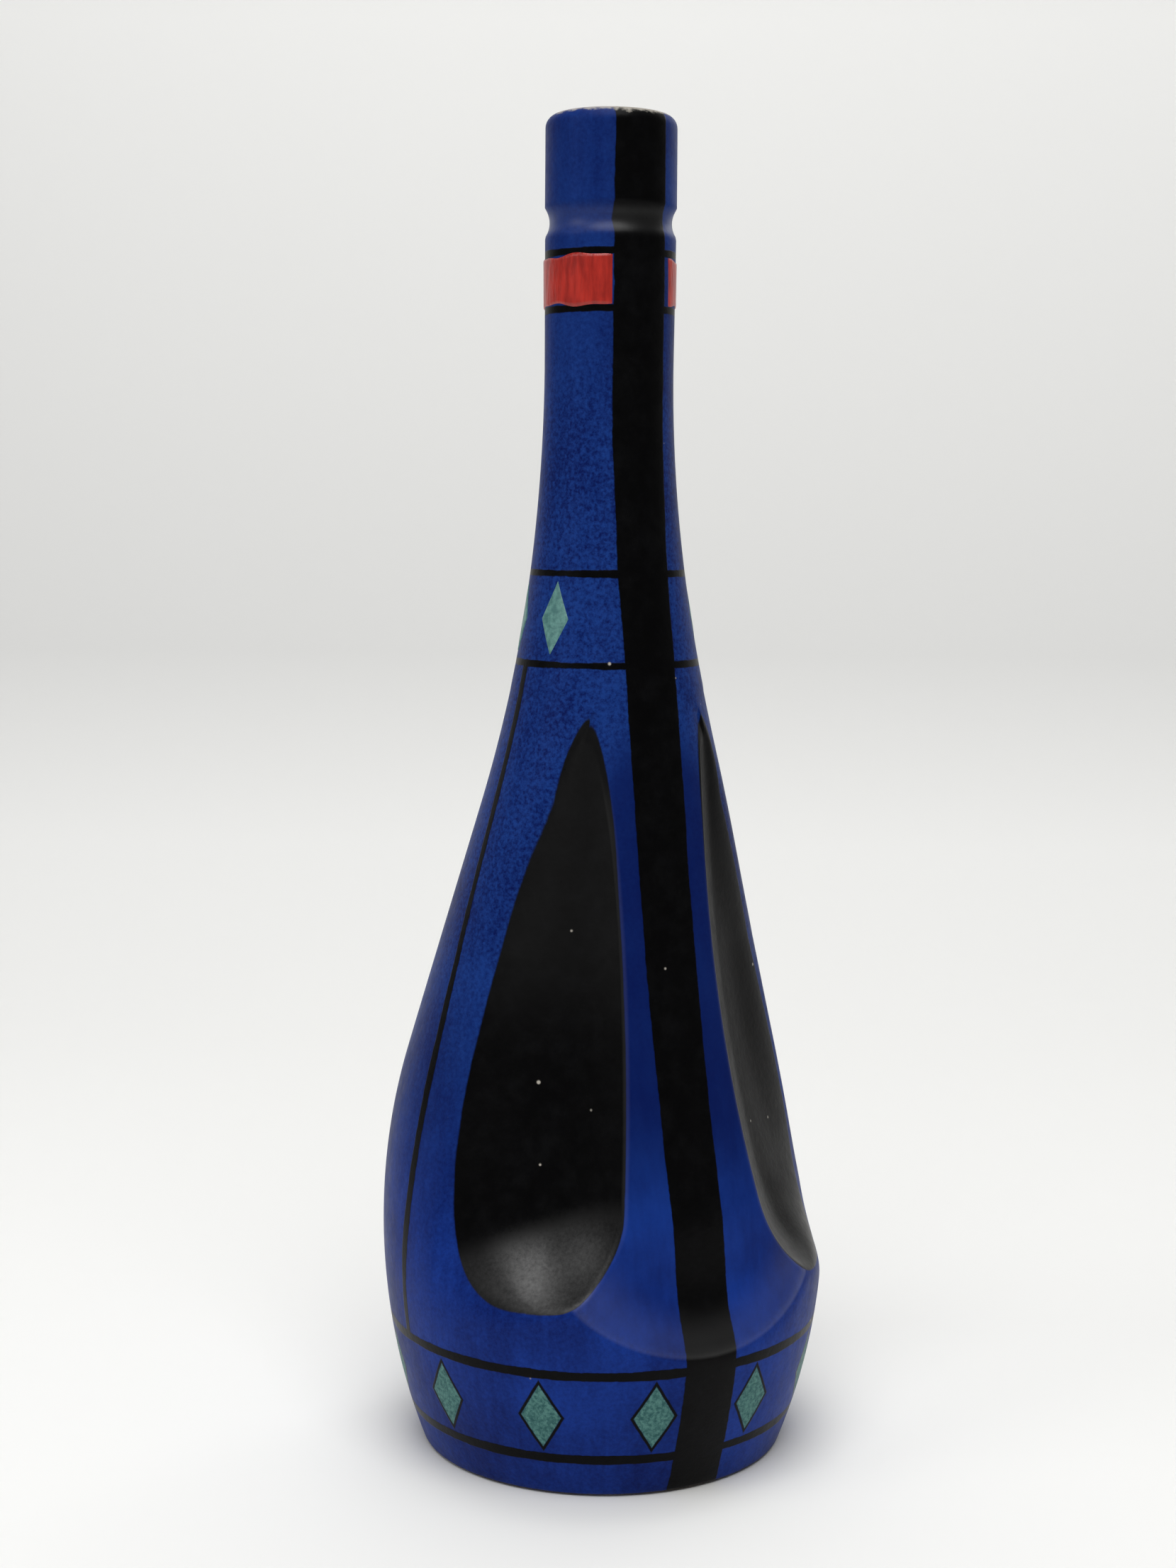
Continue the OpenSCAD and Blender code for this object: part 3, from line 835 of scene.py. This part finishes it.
def paintedGlaze():
    material, shader, start = newMaterial("painted glaze")
    at = placeOnJug(start)
    stripe, lines = blackLines(at)
    bowl = blackHollows(at)
    lozenges = beltLozenges(at)
    belt = step(lozenges, *painting["beltEdge"]) * (1 - stripe)
    black = lines | bowl | step(lozenges, *painting["beltRim"]) * (1 - stripe)
    black = black * (1 - belt)
    worn = step(
        grain(at.point, *painting["blackGrain"]) + at.speck * painting["blackSpeck"],
        *painting["blackTone"],
    )
    colour = mix(black, blueGround(at), mix(worn, painting["black"], painting["blackWorn"]))
    tone = step(at.speck, *painting["turquoiseTone"])
    colour = mix(belt, colour, mix(tone, painting["turquoiseDeep"], painting["turquoisePale"]))
    hole = pinholes(at)
    bare = hole | wornRim(at)
    colour = mix(creamLip(at), mix(bare, colour, wear["bareClay"]), wear["cream"])
    rough = gloss["roughness"] + wander(at.point, *gloss["roughGrain"])
    rough = rough - black * gloss["blackSmooth"] + bare * gloss["bareRough"]
    coarse, fine = (grain(at.point, size, detail) * share for size, detail, share in gloss["skin"])
    skin = coarse + fine + black * gloss["blackThick"] - hole * gloss["holeDeep"]
    plug(
        shader, Base_Color=colour, Roughness=rough, Coat_Weight=pooledGlaze(at, bowl),
        Normal=bump(skin, gloss["skinDepth"]),
    )
    plug(shader, Specular_IOR_Level=gloss["specular"], Coat_Roughness=gloss["coatRoughness"])
    return material


clouding = {  # mm
    "detail": 5, "roughness": 0.65, "tone": (0.35, 0.68),
    "dullDetail": 3, "dullReach": 0.2,
    "skinGrain": (1.2, 3), "skinDepth": 0.1,
}


# one clouded colour, with the tones, grain and roughness of a piece's dictionary
def plainGlaze(name, piece):
    material, shader, start = newMaterial(name)
    point = millimetres(start)
    size = piece["grain"]
    cloud = grain(point, size, clouding["detail"], roughness=clouding["roughness"])
    tone = step(cloud, *clouding["tone"])
    rough = piece["roughness"] + wander(point, size * 2, clouding["dullDetail"], clouding["dullReach"])
    skin = bump(grain(point, *clouding["skinGrain"]), clouding["skinDepth"])
    plug(shader, Base_Color=mix(tone, *piece["colours"]), Roughness=rough, Normal=skin)
    return material


lining = {  # mm
    "columns": (8, 14, 18), "step": 8, "boreZ": 280, "lipDrop": 2.2,
    "lap": 0.15,  # into the body's inner wall
    "creaseRows": (30.0, 190, 4),  # heights from and to, and their spacing
    "colours": ((0.42, 0.38, 0.3, 1), (0.62, 0.57, 0.47, 1)), "grain": 5, "roughness": 0.35,
}


def makeLining():
    z = np.arange(jug["floor"] + jug["glaze"], jug["neckZ"], lining["step"])
    z = np.append(z, [jug["neckZ"], lining["boreZ"], jug["height"] - lining["lipDrop"]])
    rows = np.arange(*lining["creaseRows"])
    a = columnAngles(np.interp(z, rows, creaseAngles(rows)), lining["columns"])
    high = np.broadcast_to(z[:, None], a.shape)
    inner = rayRadius(formField, a, high, shellIn)
    outer = rayRadius(formField, a, high, clayIn - lining["lap"])
    bore = high >= jug["neckZ"]
    inner = np.where(bore, jug["neckR"] - shellIn, inner)
    outer = np.where(bore, boreR + lining["lap"], outer)
    low = high.copy()
    low[0] -= jug["glaze"]  # the floor's own thickness
    centre = np.zeros((1, a.shape[1]))
    angle = np.concatenate([a[:1], a, a[::-1], a[:1]])
    radius = np.concatenate([centre, outer, inner[::-1], centre])
    height = np.concatenate([low[:1], low, high[::-1], high[:1]])
    piece = rollSlab("cream_lining", angle, radius, height)[0]
    closeSlab(piece)
    return piece


foot = {  # mm
    "height": 4.5, "topInset": 2, "columns": 144, "smoothAngle": 40,
    "edge": ((-0.8, 0), (-0.3, 0.06), (0, 0.25), (0.6, 0.9), (0.4, 1.8)),  # out from the edge, and up
    "colours": ((0.36, 0.27, 0.19, 1), (0.5, 0.4, 0.3, 1)), "grain": 1.2, "roughness": 0.8,
}


def makeFoot():
    r = profileR[0] - jug["glaze"]
    edge = r - jug["footBevel"]
    rows = [(0, 0), (r / 2, 0)] + [(edge + out, up) for out, up in foot["edge"]]
    rows += [(edge - foot["topInset"], foot["height"]), (0, foot["height"])]
    a = np.linspace(-math.pi, math.pi, foot["columns"] + 1)
    radius, height = np.array(rows).T[:, :, None] * np.ones_like(a)
    piece = rollSlab("bare_foot", np.broadcast_to(a, radius.shape), radius, height)[0]
    closeSlab(piece, foot["smoothAngle"])
    return piece


# a field of thick enamel laid on the round neck; the shape gives angle and height from a -1..1 square
def layEnamel(name, enamel, shape, edgeSunk=0.05, thickness=0.3, smoothAngle=50):
    columns, rows = enamel["grid"]
    v, u = np.meshgrid(np.linspace(-1, 1, rows), np.linspace(-1, 1, columns), indexing="ij")
    angle, z = shape(u, v)
    inset = np.minimum(1 - np.abs(u), 1 - np.abs(v)) / enamel["rounding"]
    swell = np.sqrt(np.clip(1 - np.clip(1 - inset, 0, 1) ** 2, 0, 1))
    surface = np.interp(z, profileZ, profileR)
    piece = rollSlab(name, angle, surface - edgeSunk + enamel["raised"] * swell, z)[0]
    coat = piece.modifiers.new("coat", "SOLIDIFY")
    coat.thickness = thickness * mm
    coat.offset = -1
    bpy.ops.object.modifier_apply(modifier="coat")
    closeSlab(piece, smoothAngle)
    return piece


band = {  # mm
    "low": 266.5, "top": 277.5, "raised": 0.35, "rounding": 0.12, "grid": (160, 28),
    "stripeGap": 0.2,
    "waves": ((0.35, 5, 0), (0.2, 11, 1)),  # of the brushed edges: reach, number round and start
    "colours": ((0.26, 0.008, 0.004, 1), (0.46, 0.02, 0.01, 1)), "tone": (0.42, 0.78),
    # a grain's size and detail, and how far it is drawn out
    "streakGrain": (1.3, 4, (1, 1, 6)), "streakShare": 0.7, "streakDepth": 0.25,
    "cloudGrain": (6, 3), "cloudShare": 0.5,
    "roughness": 0.24, "streakRough": 0.14,
}


def makeBand():
    gap = math.asin((painting["stripeHalf"] + band["stripeGap"]) / jug["neckR"])
    middle, half = (band["low"] + band["top"]) / 2, (band["top"] - band["low"]) / 2

    def shape(u, v):
        turn = math.pi + u * (math.pi - gap)
        brush = sum(reach * np.sin(count * turn + start) for reach, count, start in band["waves"])
        return turn, middle + v * (half + brush * np.abs(v))

    return layEnamel("red_band", band, shape)


def redEnamel():
    material, shader, start = newMaterial("red enamel")
    point = millimetres(start)
    streak = grain(point, *band["streakGrain"])
    cloud = grain(point, *band["cloudGrain"])
    tone = step(streak * band["streakShare"] + cloud * band["cloudShare"], *band["tone"])
    rough = band["roughness"] + streak * band["streakRough"]
    skin = bump(streak, band["streakDepth"])
    plug(shader, Base_Color=mix(tone, *band["colours"]), Roughness=rough, Normal=skin)
    return material


lozenge = {  # mm
    "z": 196, "height": 17, "width": 8, "raised": 0.25, "rounding": 0.16, "grid": (24, 24),
    "places": 8, "bare": 2,  # round the neck; the bare ones are beside the stripe
    "colours": ((0.05, 0.15, 0.145, 1), (0.12, 0.28, 0.25, 1)), "grain": 1.6, "roughness": 0.4,
}


# one lozenge is modelled, and its copies are turned to their places
def makeLozenges():
    r = np.interp(lozenge["z"], profileZ, profileR)

    def shape(u, v):
        across = (u + v) / 2 * lozenge["width"] / 2
        up = (v - u) / 2 * lozenge["height"] / 2
        return across / r, lozenge["z"] + up

    piece = layEnamel("lozenge_ring", lozenge, shape)
    ring = [piece]
    while len(ring) < lozenge["places"] - lozenge["bare"]:
        bpy.ops.object.duplicate()
        ring.append(bpy.context.object)
    first = (lozenge["bare"] + 1) / 2
    for place, copy in enumerate(ring):
        turn = -2 * math.pi * (place + first) / lozenge["places"]
        copy.data.transform(Matrix.Rotation(turn, 4, "Z"))
        copy.select_set(True)
    bpy.context.view_layer.objects.active = piece
    bpy.ops.object.join()
    return piece


addCamera()
addLamps()
addFloor()
addSky()
print("camera, lamps and floor placed")

finishPiece(
    makeBody(), paintedGlaze(), "blue_glaze",
    "belly", "neck", "mouth_collar", "blue_glaze",
    "black_grip_left", "black_grip_right", "black_stripe", "black_rings",
)
finishPiece(makeLining(), plainGlaze("cream glaze", lining), "cream_glaze", "interior_glaze")
finishPiece(makeFoot(), plainGlaze("bare clay", foot), "clay", "foot")
print("lining and foot made")
finishPiece(makeBand(), redEnamel(), "red_enamel", "red_neck_band")
finishPiece(
    makeLozenges(), plainGlaze("turquoise glaze", lozenge), "turquoise_glaze", "turquoise_lozenges",
)
print("enamels laid")
